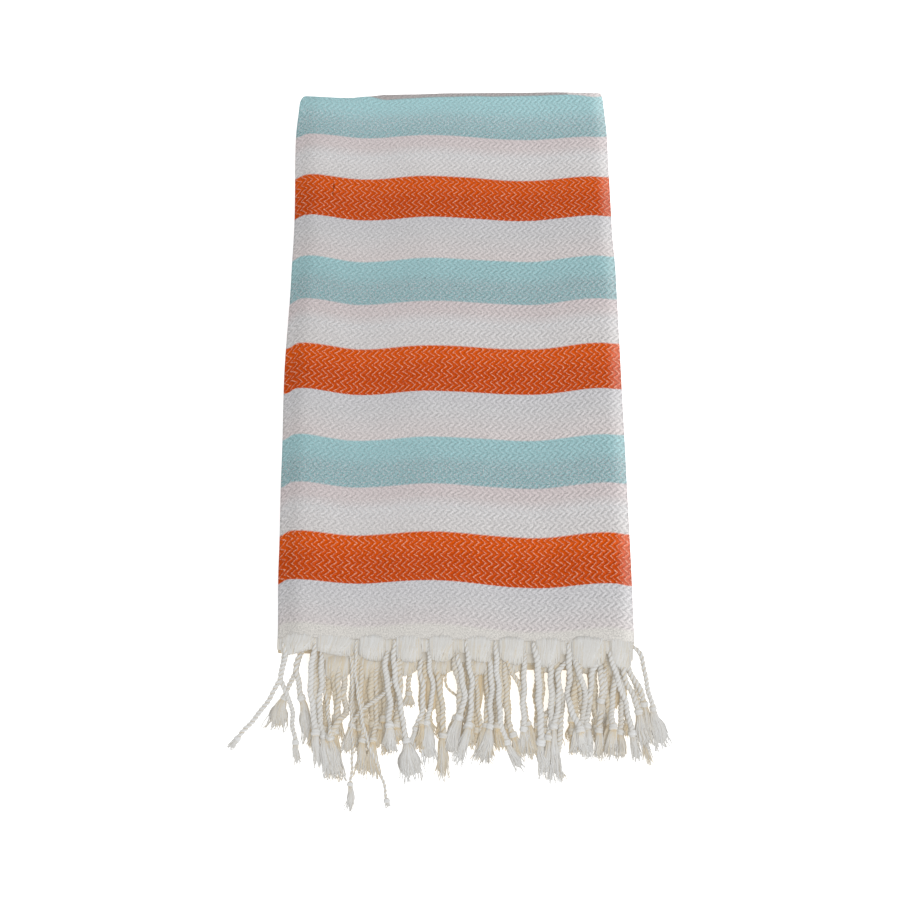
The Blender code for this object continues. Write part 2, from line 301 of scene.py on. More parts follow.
def flat_cloth_map():
    """UV of every station: distance along the two paths, with the shifts on the top layer.

    The bow is mixed softly along y between its columns, the peek is eased in at the fold.
    """
    x, y = SURFACE[..., 0], SURFACE[..., 1]
    u = ACROSS[5][None, :] + 0 * x
    v = DOWN[5][:, None] + 0 * x
    on_top = (1 - ease((u - 0.25) / 0.03)) * (1 - ease((v - 0.47) / 0.06))
    at_hem, half_way, at_fold = read_table(BOW, x)
    bow = mix(mix(at_hem, half_way, ease((y + 0.19) / 0.13)), at_fold, ease((y - 0.08) / 0.11))
    shift = bow + read_table(FOLD_PEEK, x)[0] * ease((v - 0.432) / 0.018)
    shift = shift + np.interp(v, *np.transpose(BAND_DRIFT) / MILLIMETRES)
    return np.stack([u, v + shift * on_top], axis=-1)


CLOTH_UV = flat_cloth_map()
print("flat cloth:", np.round(CLOTH_UV.reshape(-1, 2).max(axis=0), 3).tolist(), "m")


# %% [markdown]
# ## From arrays to a mesh
# Every piece is a grid, or many grids, worked out as whole arrays. One helper makes the
# mesh, with a UV map or a point attribute where a finish needs it.

# %% Mesh helpers
def grid_faces(rows, columns, closed=False):
    """Four corners of every cell of a grid, which may close into a ring."""
    row = np.arange(rows - 1)[:, None] * columns
    column = np.arange(columns if closed else columns - 1)[None, :]
    following = (column + 1) % columns
    corners = [row + column, row + following, row + columns + following, row + columns + column]
    return np.stack(np.broadcast_arrays(*corners), axis=-1).reshape(-1, 4)


def make_piece(name, points, faces, material, tone=None, uv=None):
    """A smooth mesh at the origin, with its finish, riding on the root body."""
    mesh = bpy.data.meshes.new(name)
    mesh.from_pydata(points.reshape(-1, 3).tolist(), [], faces)
    if tone is not None:
        layer = mesh.attributes.new("tone", "FLOAT", "POINT")
        layer.data.foreach_set("value", tone.astype(np.float32))
    if uv is not None:
        corners = np.empty(len(mesh.loops), dtype=np.int32)
        mesh.loops.foreach_get("vertex_index", corners)
        flat = uv.reshape(-1, 2)[corners].astype(np.float32)
        mesh.uv_layers.new(name="flat_cloth").data.foreach_set("uv", flat.ravel())
    mesh.polygons.foreach_set("use_smooth", np.ones(len(mesh.polygons), dtype=bool))
    mesh.materials.append(material)
    piece = bpy.data.objects.new(name, mesh)
    SCENE.collection.objects.link(piece)
    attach(piece, "root")
    return piece


print("cells of a 3 by 3 grid:", len(grid_faces(3, 3)))

# %% [markdown]
# ## Helpers for finishes
# A finish is a small graph of nodes. Its sums are easier to read as sums, so a node's
# output is wrapped as a field: adding or multiplying fields adds the nodes that do it.

# %% Node helpers
def put(socket, value):
    """Link a field to a socket, or set a plain value on it."""
    if isinstance(value, Field):
        value.tree.links.new(value.socket, socket)
    else:
        socket.default_value = value


def add_node(tree, kind, output, inputs, **settings):
    """A new node with its settings and inputs, given as a field of one of its outputs."""
    node = tree.nodes.new("ShaderNode" + kind)
    for name, value in settings.items():
        setattr(node, name, value)
    for name, value in inputs.items():
        put(node.inputs[name], value)
    return Field(tree, node.outputs[output])


class Field:
    """A node's output, to be added, subtracted and multiplied like a number."""

    def __init__(self, tree, socket):
        self.tree, self.socket = tree, socket

    def other(self, name):
        """Another output of the same node."""
        return Field(self.tree, self.socket.node.outputs[name])

    def maths(self, operation, *others):
        """One arithmetic node on this value and the others."""
        inputs = dict(enumerate((self, *others)))
        return add_node(self.tree, "Math", 0, inputs, operation=operation)

    def __add__(self, other):
        return self.maths("ADD", other)

    def __sub__(self, other):
        return self.maths("SUBTRACT", other)

    def __mul__(self, other):
        return self.maths("MULTIPLY", other)

    def step(self, start, end):
        """Smooth step from 0 at the start to 1 at the end, which may be the smaller."""
        inputs = {"Value": self, "From Min": start, "From Max": end}
        return add_node(self.tree, "MapRange", 0, inputs, interpolation_type="SMOOTHSTEP")


def noise(vector, scale, detail=2, roughness=0.5):
    """A soft random value from 0 to 1."""
    inputs = {"Vector": vector, "Scale": scale, "Detail": detail, "Roughness": roughness}
    return add_node(vector.tree, "TexNoise", "Fac", inputs)


def blend(share, first, second):
    """Mix two colours by a share."""
    inputs = {"Factor": share, "A": first, "B": second}
    return add_node(share.tree, "Mix", "Result", inputs, data_type="RGBA")


def bump(height, strength, distance):
    """The normal that a height gives."""
    inputs = {"Height": height, "Strength": strength, "Distance": distance}
    return add_node(height.tree, "Bump", "Normal", inputs)


def dye(*tone):
    """A colour, from its tone in soft light to the share of light it returns."""
    tone = np.array(tone) / 255
    linear = np.where(tone <= 0.04045, tone / 12.92, ((tone + 0.055) / 1.055) ** 2.4)
    return tuple(linear) + (1,)


def colour_ramp(value, stops):
    """Colours along a value. A stop is a place with its red, green and blue tone."""
    ramp = add_node(value.tree, "ValToRGB", "Color", {"Fac": value})
    elements = ramp.socket.node.color_ramp.elements
    while len(elements) < len(stops):
        elements.new(0.5)
    for element, (place, *tone) in zip(elements, stops):
        element.position = place
        element.color = dye(*tone)
    return ramp


def new_finish(name):
    """A new material with a matt Principled shader."""
    material = bpy.data.materials.new(name)
    material.use_nodes = True
    shader = material.node_tree.nodes["Principled BSDF"]
    put(shader.inputs["Roughness"], 0.92)
    return material, material.node_tree, shader.inputs


print("mid grey returns", np.round(dye(128, 128, 128)[0], 3), "of the light")

# %% [markdown]
# ## The herringbone
# The weave is a herringbone twill: pale warp shows between the weft floats as zigzag lines
# that run down the towel. A node group gives the line, the rounded float between lines,
# a painted light and shade of the relief along the line, stronger on one leg of the zigzag,
# and the yarn's own unevenness. Modelled yarns would be far too many to see at this size.

# %% The herringbone group
LINE_SPACING = 0.0046
ZIGZAG_LENGTH = 0.0077


def herringbone_group():
    """A line lies where sideways plus a triangle wave is half-way between whole numbers."""
    group = bpy.data.node_groups.new("herringbone", "ShaderNodeTree")
    group.interface.new_socket("Flat place", in_out="INPUT", socket_type="NodeSocketVector")
    flat = Field(group, group.nodes.new("NodeGroupInput").outputs[0])
    across = add_node(group, "SeparateXYZ", "X", {0: flat})
    lengthways = across.other("Y") * (2 / ZIGZAG_LENGTH)
    shifted = across * (1 / LINE_SPACING) + lengthways.maths("PINGPONG", 1)
    place = (noise(flat, 420) * 0.55 + shifted).maths("FRACT")
    off_line = (place - 0.5).maths("ABSOLUTE")
    leg = lengthways.maths("WRAP", 2, 0)
    rising = leg.step(1.08, 0.92) * leg.step(0, 0.12)
    masks = {
        "Line": off_line.step(0.17, 0.05),
        "Float": (off_line * np.pi).maths("SINE"),
        # Painted light and shade of the relief: light on one side of each line, dark on the other.
        "Painted relief": (place * (2 * np.pi)).maths("SINE") * (rising * 0.5 + 0.5),
        "Yarn": noise(flat, 850, 2, 0.8),
    }
    for name in masks:
        group.interface.new_socket(name, in_out="OUTPUT", socket_type="NodeSocketFloat")
    leave = group.nodes.new("NodeGroupOutput")
    for name, mask in masks.items():
        put(leave.inputs[name], mask)
    return group


HERRINGBONE = herringbone_group()
print("weave group:", [socket.name for socket in HERRINGBONE.interface.items_tree])

# %% [markdown]
# ## The striped cotton
# One repeat is orange, white, aqua and white, each band 37.4 mm wide, counted up from the
# hem. One colour ramp along the repeat gives the ground, another the pale lines of the
# weave. The whites turn pinkish beside the aqua, whose lower half is greyer.

# %% The striped finish
REPEAT = 0.1496
FIRST_ORANGE = 0.0424
PLAIN_HEM = 0.0095
EDGE = 0.0015

# Columns: place in the repeat, red, green and blue tone.
GROUND = (
    (0, 189, 69, 5),
    (0.11, 189, 68, 2),
    (0.2, 203, 78, 4),
    (0.25 - EDGE, 204, 79, 5),
    (0.25 + EDGE, 202, 198, 197),
    (0.38, 202, 201, 202),
    (0.44, 198, 189, 189),
    (0.5 - EDGE, 198, 188, 189),
    (0.5 + EDGE, 136, 170, 174),
    (0.6, 140, 171, 175),
    (0.66, 147, 183, 187),
    (0.75 - EDGE, 149, 187, 191),
    (0.75 + EDGE, 202, 194, 193),
    (0.9, 196, 195, 196),
    (1 - EDGE, 193, 192, 195),
    (1, 189, 69, 5),
)
LINES = (
    (0, 214, 158, 134),
    (0.25 - EDGE, 222, 162, 138),
    (0.25 + EDGE, 204, 202, 201),
    (0.5 - EDGE, 202, 194, 194),
    (0.5 + EDGE, 158, 182, 185),
    (0.75 - EDGE, 156, 191, 195),
    (0.75 + EDGE, 204, 198, 197),
    (1 - EDGE, 197, 196, 199),
    (1, 214, 158, 134),
)
HEM_CREAM = dye(206, 203, 198)
FLECK = dye(200, 190, 194)
# Painted highlight for the right edge, where the cloth rounds towards the light.
RIGHT_EDGE_HIGHLIGHT = dye(240, 238, 235)
# Painted shade over the top fold, where the cloth turns away from the light.
FOLD_SHADE = 0.62

# Painted light near the fold, a painted highlight along the right edge, painted shade along the
# left. Columns: axis of the flat cloth, where the change starts, where it is full, how much
# lighter.
PAINTED_LIGHT_AND_SHADE = (
    ("Y", 0.412, 0.44, 0.11),
    ("Y", 0.374, 0.386, 0.05),
    ("X", 0.0115, 0.0015, 0.19),
    ("X", 0.228, 0.243, -0.1),
)

# Small flaws. Columns: u, v, half-width, half-length, darkness.
FLAWS = (
    (0.219, 0.369, 0.0004, 0.0034, 0.85),
    (0.2198, 0.3625, 0.0004, 0.0016, 0.7),
    (0.1466, 0.286, 0.0007, 0.0006, 0.6),
)


def stripe_colours(flat, weave, ragged):
    """Ramps read at the fraction of v over the repeat, with the lines and flecks mixed in."""
    repeat = (ragged - FIRST_ORANGE).maths("DIVIDE", REPEAT).maths("WRAP", 1, 0)
    show = weave * (weave.other("Yarn") * 5 - 1.95)
    woven = blend(show, colour_ramp(repeat, GROUND), colour_ramp(repeat, LINES))
    in_aqua = repeat.step(0.49, 0.51) - repeat.step(0.74, 0.76)
    greyer_below = repeat.step(0.67, 0.59) * 0.46 + 0.15
    flecks = noise(flat, 1050, 1).step(0.53, 0.65)
    return blend(flecks * (in_aqua * greyer_below + 0.05), woven, FLECK)


def cloth_shade(flat, weave, sideways, above_hem):
    """Yarn, clouds, painted relief shade and painted light and shade summed, times painted fold
    shade and flaws.

    The painted relief shade is stronger towards the right edge.
    """
    lengthways = sideways.other("Y")
    relief = sideways.step(0.2, 0) * 0.08 + 0.155
    # Painted relief shade, stronger towards the right edge.
    painted_relief = weave.other("Painted relief") * relief * above_hem
    shade = noise(flat, 55, 3, 0.6) * 0.1 + weave.other("Yarn") * 1.35 + painted_relief + 0.275
    # Painted light and shade: lighter near the fold and on the right edge, darker on the left.
    for axis, start, full, lighter in PAINTED_LIGHT_AND_SHADE:
        shade = sideways.other(axis).step(start, full) * lighter + shade
    # Over the fold the cloth turns away from the light, so painted shade darkens it there, but not
    # in the last 3 cm on the right.
    gone_over = lengthways.step(0.4524, 0.4534) * sideways.step(0.026, 0.031)
    shade = shade * (gone_over * (FOLD_SHADE - 1) + 1)
    for u, v, half_width, half_length, darkness in FLAWS:
        across = (sideways - u).maths("DIVIDE", half_width)
        along = (lengthways - v).maths("DIVIDE", half_length)
        away = (along * along + across * across).step(0.5, 1.4)
        shade = shade * (away * darkness + (1 - darkness))
    return shade


def striped_finish():
    """Stripe colours times yarn and painted shade, with each float standing a little proud of the
    lines.
    """
    material, tree, sockets = new_finish("striped_cotton")
    flat = add_node(tree, "UVMap", "UV", {}, uv_map="flat_cloth")
    sideways = add_node(tree, "SeparateXYZ", "X", {0: flat})
    weave = add_node(tree, "Group", "Line", {0: flat}, node_tree=HERRINGBONE)
    # The bands' edges are as ragged as single yarns.
    ragged = noise(flat, 900) * 0.0011 + sideways.other("Y")
    above_hem = ragged.step(PLAIN_HEM - 0.002, PLAIN_HEM + 0.002)
    stripes = blend(above_hem, HEM_CREAM, stripe_colours(flat, weave, ragged))
    # Painted highlight: some of a pale colour is mixed in along the right edge.
    colour = blend(sideways.step(0.0115, 0.0015) * 0.1, stripes, RIGHT_EDGE_HIGHLIGHT)
    inputs = {0: colour, "Scale": cloth_shade(flat, weave, sideways, above_hem)}
    put(sockets["Base Color"], add_node(tree, "VectorMath", 0, inputs, operation="SCALE"))
    height = weave.other("Yarn") * 0.7 + weave.other("Float") * above_hem
    put(sockets["Normal"], bump(height, 0.6, 0.00045))
    put(sockets["Specular IOR Level"], 0.05)
    return material


STRIPED = striped_finish()
print("striped finish:", len(STRIPED.node_tree.nodes), "nodes")

# %% [markdown]
# ## The cloth
# The bent grid gets a thickness of one millimetre, as the solid has. Without it the edges
# would show as paper. A modifier does it, so the grid stays one surface with one UV map.

# %% The cloth
CLOTH_FACES = grid_faces(*SURFACE.shape[:2]).tolist()
cloth = make_piece("folded_cloth", SURFACE, CLOTH_FACES, STRIPED, uv=CLOTH_UV)
thickness = cloth.modifiers.new("Cloth thickness", "SOLIDIFY")
thickness.thickness = SHEET_THICKNESS
thickness.offset = 0
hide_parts("cloth")
print("cloth:", len(cloth.data.polygons), "faces before its thickness")

# %% [markdown]
# ## The fringe's cotton
# The warp is undyed cotton. Light that sinks between the yarns comes back warmer, so the
# finish goes from tan in the grooves to nearly white on top, by an attribute of each yarn:
# the tan is painted shade. A weak warm glow is painted light for the light that passes
# through loose threads.

# %% The fringe finish
# Columns: tone, where low tones are tan painted shade, then the red, green and blue of the yarn
# there.
YARN_TONES = (
    (0, 188, 165, 124),
    (0.35, 190, 180, 160),
    (0.6, 190, 190, 188),
    (1, 202, 205, 208),
)


def fringe_finish():
    """The ramp is read at the yarn's tone plus a little of the fibres, which give the bump."""
    material, tree, sockets = new_finish("fringe_cotton")
    tone = add_node(tree, "Attribute", "Fac", {}, attribute_name="tone")
    fibres = noise(add_node(tree, "TexCoord", "Object", {}), 1400, 2, 0.6)
    put(sockets["Base Color"], colour_ramp(tone + (fibres * 0.3 - 0.15), YARN_TONES))
    put(sockets["Normal"], bump(fibres, 0.5, 0.0003))
    put(sockets["Specular IOR Level"], 0.15)
    put(sockets["Sheen Weight"], 0.05)
    # Painted light: a weak warm glow for the light that passes through loose threads.
    put(sockets["Emission Color"], (1, 0.89, 0.74, 1))
    put(sockets["Emission Strength"], 0.12)
    return material


FRINGE = fringe_finish()
print("fringe finish:", len(FRINGE.node_tree.nodes), "nodes")

# %% [markdown]
# ## Yarns as tubes
# Plies, the wraps of a knot and the threads of a brush are all yarn, so one function makes
# tubes round many centre lines at once. Bevelled curves would do it too, but here every
# point carries its own tone. From here on lengths are millimetres, until a row is joined.

# %% Tubes round many centre lines
UPRIGHT = np.array([0, 0, 1])


def square_to(way, reference=UPRIGHT):
    """Side and upward directions square to a way."""
    side = unit(np.cross(way, reference))
    return side, np.cross(side, way)


def tubes(centres, radii, around, reference=UPRIGHT, heights=None, lobes=0, lobe_count=0):
    """Rings of points: the centre plus the radius times a circle set square to the line.

    The radius upwards, in heights, flattens the ring, and lobes ripple it like threads.
    """
    side, up = square_to(unit(np.gradient(centres, axis=-2)), reference)
    angle = 2 * np.pi * np.arange(around) / around
    ripple = 1 + lobes * np.cos(lobe_count * angle)
    heights = radii if heights is None else heights
    across = radii[..., None] * (ripple * np.cos(angle))
    above = heights[..., None] * (ripple * np.sin(angle))
    rings = centres[..., None, :] + across[..., None] * side[..., None, :]
    return rings + above[..., None] * up[..., None, :]


def tube_faces(count, stations, around, first):
    """Side faces and end caps of equal tubes whose points start at number first."""
    starts = first + np.arange(count)[:, None, None] * stations * around
    sides = (starts + grid_faces(stations, around, closed=True)[None]).reshape(-1, 4)
    ring = np.arange(around)
    start_caps = starts[:, 0, :] + ring[::-1][None, :]
    end_caps = starts[:, 0, :] + (stations - 1) * around + ring[None, :]
    return sides[:, ::-1].tolist() + start_caps[:, ::-1].tolist() + end_caps[:, ::-1].tolist()


def join_yarns(name, yarns):
    """One mesh of tubes, given as rings by (tube, station, around, xyz) with their tones."""
    points, tones, faces, first = [], [], [], 0
    for rings, tone in yarns:
        faces += tube_faces(*rings.shape[:3], first)
        points.append(rings.reshape(-1, 3))
        tones.append(np.broadcast_to(tone, rings.shape[:3]).ravel())
        first += len(points[-1])
    points = np.concatenate(points) / MILLIMETRES
    return make_piece(name, points, faces, FRINGE, tone=np.concatenate(tones))


print("faces of a tube of 5 rings of 6:", len(tube_faces(1, 5, 6, 0)))

# %% [markdown]
# ## Where the cords lie
# Each woven end shows four layers, and each layer has about ten cords: eight rows in all.
# The cords of the upper rows are placed one by one, as they are the ones to see.

# %% Rows and cords placed one by one
# Rows from the top. Columns: height of the layer, hem's distance out, painted shade of the row's
# depth.
ROWS = {
    1: (19.1, 0, 0),
    2: (17.9, 0, -0.03),
    3: (16.7, 0, -0.1),
    4: (15.5, 0, -0.14),
    5: (14.1, 3.5, -0.16),
    6: (12.9, 3.5, -0.28),
    7: (11.7, 3.5, -0.4),
    8: (10.5, 3.5, -0.44),
}

# Columns: row, width, distance down to the knot, half-width of the brush, then the route
# as pairs of distance down and x, of which the last is the brush's tip.
PLACED_CORDS = (
    (1, 3.1, 68, 1.7, 4, -119.7, 13, -116.7, 20, -119.5, 29, -122.4, 37, -127.4, 49, -136, 59, -144,
     67, -150.7, 74, -155.5),
    (1, 3.8, 64, 3.1, 3, -97, 16, -99, 29, -100, 41, -99.3, 54, -97, 64, -96, 85, -93.7),
    (1, 2.1, 109, 1, 1, -68, 17, -69, 29, -68.4, 38, -66.4, 48, -65, 58, -63, 71, -59.5, 83, -53.4,
     97, -48, 113, -45),
    (1, 3.5, 68, 9, 1, -41.5, 12, -42, 28, -41, 34, -39, 46, -36.5, 57, -35.4, 68, -32.5, 94,
     -28.7),
    (1, 3.1, 56, 5.6, 1, -17.3, 20, -17, 28, -14.5, 38, -14.5, 46, -17.3, 55, -18.6, 82, -16.4),
    (1, 3.5, 58, 3.5, 1, 8.6, 17, 10.7, 28, 13, 41, 12, 55, 11.4, 71, 6.4, 83, 3),
    (1, 3.5, 68, 3.5, 1, 29.6, 20, 30, 32, 31.7, 48, 31.7, 61, 33.6, 70, 38, 77, 41.7, 87, 47),
    (1, 4.2, 68, 4.2, 2, 56, 19, 59.3, 31, 59.4, 43, 59.7, 57, 61, 68, 60, 91, 63),
    (1, 3.8, 61, 3.5, 2, 80, 19, 81.3, 27, 81, 38, 79.3, 47, 81.7, 56, 86, 65, 88.4, 76, 91.5),
    (1, 3.5, 61, 3.5, 2, 107.4, 15, 111.4, 25, 114, 36, 118.5, 46, 122, 56, 123, 64, 125.3, 80,
     127.3),
    (2, 3.1, 70, 2.4, 8, -119, 27, -121.7, 35, -118.6, 40, -115, 47, -113, 56, -113, 67, -110.7, 84,
     -108.3),
    (2, 3.5, 66, 5.6, 8, -93, 28, -92.3, 35, -93, 50, -94, 61, -91.7, 94, -84.5),
    (2, 1.9, 98, 3.1, 8, -72.7, 27, -70.6, 38, -71.3, 47, -72, 59, -71, 76, -70, 91, -71, 115, -71),
    (2, 3.5, 59, 4.9, 8, -46.7, 22, -48, 34, -45.3, 45, -44, 57, -45, 76, -43.5),
    (2, 3.1, 59, 3.5, 8, -23, 22, -24, 28, -21.5, 36, -21.5, 48, -21.5, 55, -25, 64, -27.6, 76,
     -29.6),
    (2, 3.5, 52, 5.6, 8, 2.3, 16, 3.7, 28, 6, 37, 8, 48, 6, 56, 1.6, 78, -3.3),
    (2, 3.5, 58, 4.9, 8, 24.7, 17, 25.4, 29, 27, 44, 25.4, 56, 26, 70, 22.4, 82, 19.5),
    (2, 3.5, 59, 6.2, 8, 50.6, 16, 49, 27, 49.7, 40, 48.5, 57, 49, 77, 50.7),
    (2, 3.5, 58, 3.5, 12, 80, 16, 76.5, 20, 72.7, 31, 73, 43, 73.4, 50, 71.5, 61, 69, 93, 71),
    (2, 3.8, 57, 4.2, 8, 104, 15, 100.3, 22, 95.7, 31, 96, 43, 94.5, 54, 93, 77, 93),
    (2, 3.1, 43, 6.2, 1, 124, 5, 129, 12, 133, 23, 134, 32, 136.7, 40, 139, 45, 140, 70, 146),
    (3, 3.5, 39, 4.9, 8, -108, 21, -110.6, 29, -109, 37, -107.4, 43, -105.6, 70, -100.5),
    (3, 2.4, 68, 5.6, 8, -92.4, 29, -91.6, 37, -89.6, 49, -88, 59, -86, 67, -85.3, 94, -79.6),
    (3, 3.8, 65, 3.5, 8, 67, 23, 68, 40, 68, 54, 68, 65, 66, 91, 65),
    (3, 3.5, 58, 3.5, 8, 84, 22, 86.4, 30, 90.6, 42, 92, 52, 89.5, 62, 85.7, 75, 82.5),
    (3, 3.5, 46, 4.9, 8, 115.5, 18, 118, 26, 120.3, 34, 125.6, 43, 129, 52, 130, 71, 132.6),
    (4, 3.1, 39, 7.6, 8, -106, 21, -111, 31, -115, 35, -118, 43, -121, 60, -124.5),
    (4, 2.5, 58, 4.2, 12, -38, 33, -44, 41, -54.5, 47, -63.7, 56, -71, 76, -74.6),
    (4, 3.5, 40, 4.9, 8, 101, 19, 103, 35, 103, 40, 103, 56, 102),
    (4, 3.5, 40, 4.2, 8, 120, 18, 122, 26, 127.4, 37, 133.4, 46, 134.5, 67, 136),
    (5, 3.5, 80, 2.1, 25, 73.5, 45, 76.5, 54, 74, 68, 74, 78, 70.7, 93, 74.4),
    (5, 3.5, 59, 4.2, 18, 113, 33, 111.7, 43, 110, 55, 109.7, 60, 110, 78, 108.7),
    (5, 3.5, 60, 3.5, 18, 106, 38, 104.7, 50, 102, 61, 101, 79, 101),
    (5, 3.5, 60, 3.5, 18, 118, 38, 118, 50, 117, 61, 116, 79, 117),
    (6, 3.1, 69, 3.5, 12, -63.6, 27, -65, 40, -65, 54, -63.3, 68, -63, 91, -65.3),
    (6, 3.1, 68, 5.6, 12, -54, 27, -54.5, 40, -54, 57, -54, 71, -56.7, 93, -57),
    (6, 3.5, 64, 4.2, 12, -11.7, 28, -11, 36, -8.6, 48, -7.5, 59, -7.5, 93, -8),
    (6, 2.8, 60, 4.2, 12, 15.6, 28, 16, 44, 17, 55, 18.3, 64, 20.3, 81, 26.4),
    (6, 3.5, 63, 4.2, 12, 35, 27, 36.6, 44, 37, 53, 38, 61, 40.5, 77, 47),
    (6, 3.5, 63, 5.6, 12, -81, 29, -81, 38, -80, 49, -81, 60, -82, 72, -83, 94, -83),
    (6, 3.8, 67, 4.2, 12, -75, 27, -77, 37, -77, 49, -74.6, 56, -79.3, 64, -85.4, 86, -88),
    (6, 3.1, 35, 4.2, 12, -30, 27, -31.4, 44, -32),
    (6, 1.7, 59, 2.8, 12, -7, 30, -5.4, 35, -1, 38, 4.4, 48, 8.6, 71, 10),
    (6, 3.1, 57, 4.2, 12, 22, 23, 22.6, 33, 24, 47, 23.3, 64, 21, 79, 17.5),
    (6, 2.9, 55, 4.9, 12, 36, 21, 41, 30, 47, 42, 49.3, 54, 52, 77, 55.5),
    (6, 2.8, 57, 2.1, 18, 122, 25, 126.5, 41, 130.5, 57, 130.5, 81, 136),
)
CORDS = {number: [cord[1:] for cord in PLACED_CORDS if cord[0] == number] for number in ROWS}
print("cords placed by hand:", len(PLACED_CORDS))

# %% [markdown]
# ## The cords underneath
# Below them lie more cords, of which little shows. They hang straight down, and keep
# clear of the openings through which the surface shows.

# %% Cords underneath
# The x of each cord at the hem.
UNDER_CORDS = {
    6: (-98, -71, -48, -37, 1, 69, 88),
    7: (-95, -86, -68, -58, -49, -40, -20, 4, 12, 28, 33, 62, 72, 86, 97, 106),
    8: (-89, -79, -66, -60, -53, -47, -44, -24, -15, -10, 8, 15, 24, 37, 48, 59, 73, 80, 85, 100,
        103, 109, 113, 119),
}

# Openings. Columns: x, half-width, first and last distance down.
OPENINGS = (
    (-104, 3.6, 4, 43), (-91.5, 2.6, 24, 56), (-85.5, 2.2, 38, 58),
    (-77, 3, 26, 50), (-29.5, 5.4, 34, 64), (-1.5, 4.6, 26, 48),
    (43, 3.6, 24, 42), (43, 3.4, 55, 63), (53.5, 2.8, 20, 32),
    (54.5, 2.8, 43, 54), (66, 1.8, 30, 58), (78, 2.2, 21, 31),
    (91.5, 2.4, 20, 31), (101, 1.2, 18, 37), (125, 4, 14, 42),
)
OPENING_EDGE = 8


def pushed_aside(x, down, reach):
    """A yarn inside an opening goes to its nearer side, as far as that is open there."""
    for centre, half_width, first, last in OPENINGS:
        open_share = ease((down - first + OPENING_EDGE) / OPENING_EDGE)
        open_share = open_share * ease((last + OPENING_EDGE - down) / OPENING_EDGE)
        offset = x - centre
        needed = np.maximum(half_width + reach - np.abs(offset), 0)
        x = x + np.where(offset < 0, -1, 1) * needed * open_share
    return x


def under_cord(x, out):
    """A cord like the placed ones, with a small drift of its own."""
    knot = vary(52, 61)
    tip = knot + vary(10, 16)
    down = np.linspace(out + 3, tip, 12)
    drift = vary(-4, 4) * ease(down / 70)
    wave = 0.7 * np.sin(down / 6 + vary(0, 6))
    route = np.stack([down, pushed_aside(x + drift + wave, down, 1.6)], axis=-1)
    width = vary(3.6, 4.6)
    return width, knot, vary(3, 4.8), *route.ravel()


for number, places in UNDER_CORDS.items():
    CORDS[number] += [under_cord(x, ROWS[number][1]) for x in places]
print("cords in each row:", [len(cords) for cords in CORDS.values()])

# %% [markdown]
# ## Loose threads under the hem
# Before a cord is twisted, its warp threads leave the hem side by side and swing over,
# which makes a soft pillow beside the cord. Each row's pillows are one closed surface that
# rolls under at its lip, with loose threads over it that start a little above the hem.

# %% Pillows
# Columns: left x, right x, drop on the left, drop on the right, height of the pillow.
PILLOWS = {
    1: (
        (-121.5, -98, 13.5, 8, 2.9),
        (-96.5, -71, 9.5, 13.5, 3.1),
        (-67, -48, 13, 16.5, 3.4),
        (-41, -22.5, 14.5, 17, 3.6),
        (-18, 0, 15, 16, 3.6),
        (8.5, 26, 13, 17, 3.6),
        (31, 50, 14, 18, 3.5),
        (57, 75, 18.5, 17.5, 3.6),
        (82, 106, 18.5, 18.5, 3.7),
        (109, 125.5, 16.5, 20.5, 3.5),
    ),
    5: (
        (-92, -69.5, 26, 20, 2.8),
        (-67.5, -48, 24.5, 18.5, 2.9),
        (-43.5, -23.5, 22.5, 18, 2.9),
        (-18, 0.5, 19.5, 18.5, 2.8),
        (8, 26, 20, 18.5, 2.8),
        (29.5, 48, 19, 18, 2.8),
        (57, 75, 17, 17.5, 2.6),
        (83, 103, 17, 18, 2.6),
        (106, 123, 20, 19, 2.6),
    ),
    7: (
        (-101, -95.5, 42, 40, 1),
        (-73, -51.5, 42, 46, 1.2),
        (-52, -36, 46, 34, 1.2),
        (-23.5, -7, 46, 40, 1.2),
        (3.5, 21.5, 46, 50, 1.2),
        (21, 38, 48, 42, 1.2),
        (47.5, 50.5, 40, 40, 0.8),
        (57.5, 63.5, 44, 46, 0.9),
        (68.5, 75, 46, 42, 0.9),
        (80.5, 88, 44, 42, 1),
        (94, 99.5, 42, 40, 0.9),
        (102.5, 120, 44, 38, 1.2),
    ),
}
# How far the threads drop between pillows: at the left end and over the rest of the row.
VALLEY_DROPS = {1: (8, 9), 5: (3, 12), 7: (3, 14)}
PLAIN_DROPS = (5, 14.5)
FLAT_HEIGHT = 0.35
ROUNDNESS = 2.6
HANG_LENGTH = 58
LIP_RING = 16
UNDER_RING = 6
PILLOW_COLUMNS = 500
PLAIN_COLUMNS = 125
THREADS_PER_MM = 1.5
THREAD_STATIONS = 12


def hanging_share(distance):
    """How far a yarn at this distance from its hem has come down."""
    return ease(distance / HANG_LENGTH)


def pillow_shape(number, x):
    """Drop and height over x: each lip is rounded at both ends, each height is an arch."""
    drop = mix(*VALLEY_DROPS.get(number, PLAIN_DROPS), ease((x + 97) / 6))
    height = np.full_like(x, FLAT_HEIGHT)
    for left, right, drop_at_left, drop_at_right, pillow_height in PILLOWS.get(number, ()):
        place = 2 * (x - left) / (right - left) - 1
        inside = np.abs(place) < 1
        full_drop = mix(drop_at_left, drop_at_right, 0.5 + 0.5 * place)
        longer = np.maximum(drop, drop + (full_drop - drop) * dome(place, ROUNDNESS))
        drop = np.where(inside, longer, drop)
        arch = np.clip(1 - place**2, 0, 1) ** 0.8
        height = np.where(inside, np.maximum(height, pillow_height * arch), height)
    return drop, height


def hem_line(x, out):
    """y of a layer's hem, which runs lower on the right than on the left."""
    return -MILLIMETRES * (HALF_LENGTH + HEM_SKEW * x / (2 * MILLIMETRES * HALF_WIDTH)) - out


